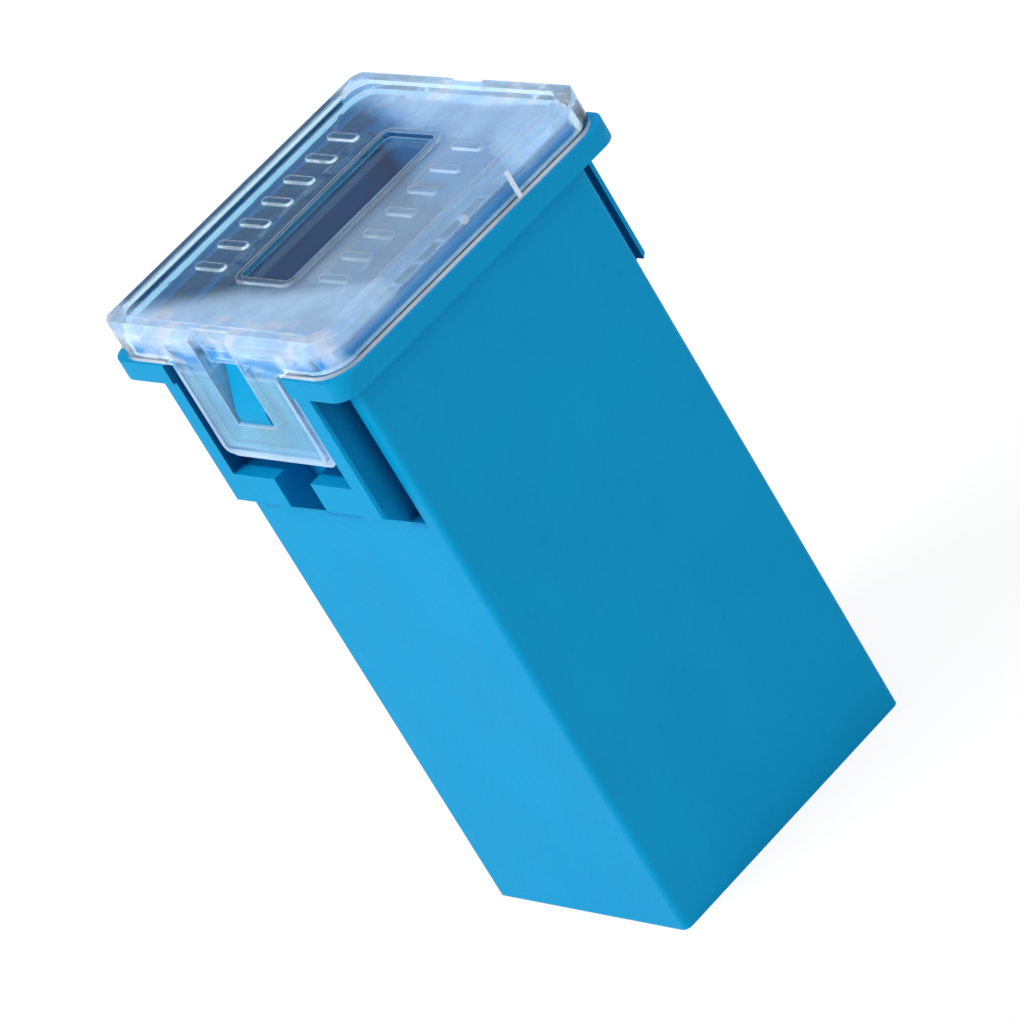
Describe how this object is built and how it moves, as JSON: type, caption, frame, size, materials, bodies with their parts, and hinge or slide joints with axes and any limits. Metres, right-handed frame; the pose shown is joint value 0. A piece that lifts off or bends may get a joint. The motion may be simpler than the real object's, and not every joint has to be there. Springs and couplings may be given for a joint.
{
  "type": "maxi cartridge fuse",
  "caption": "Female cartridge fuse: rectangular moulded housing open below for two flat tabs, flanged at the top under a clear cover with two latch legs.",
  "frame": {"origin": "middle of the open lower end, on the plane that the fuse stands on", "axes": "+Z from the open end up to the clear cover, X along the wide faces from one latch leg to the other, Y through the thickness"},
  "size_m": [0.0172, 0.0152, 0.0322],
  "materials": {
    "blue_moulding": "satin",
    "clear_moulding": "gloss",
    "tinned_metal": "satin",
    "tin": "matte"
  },
  "bodies": {
    "root": {"housing": "blue_moulding", "clear_cover": "clear_moulding", "fuse_element": "tinned_metal", "tin_pellet": "tin"}
  },
  "joints": []
}
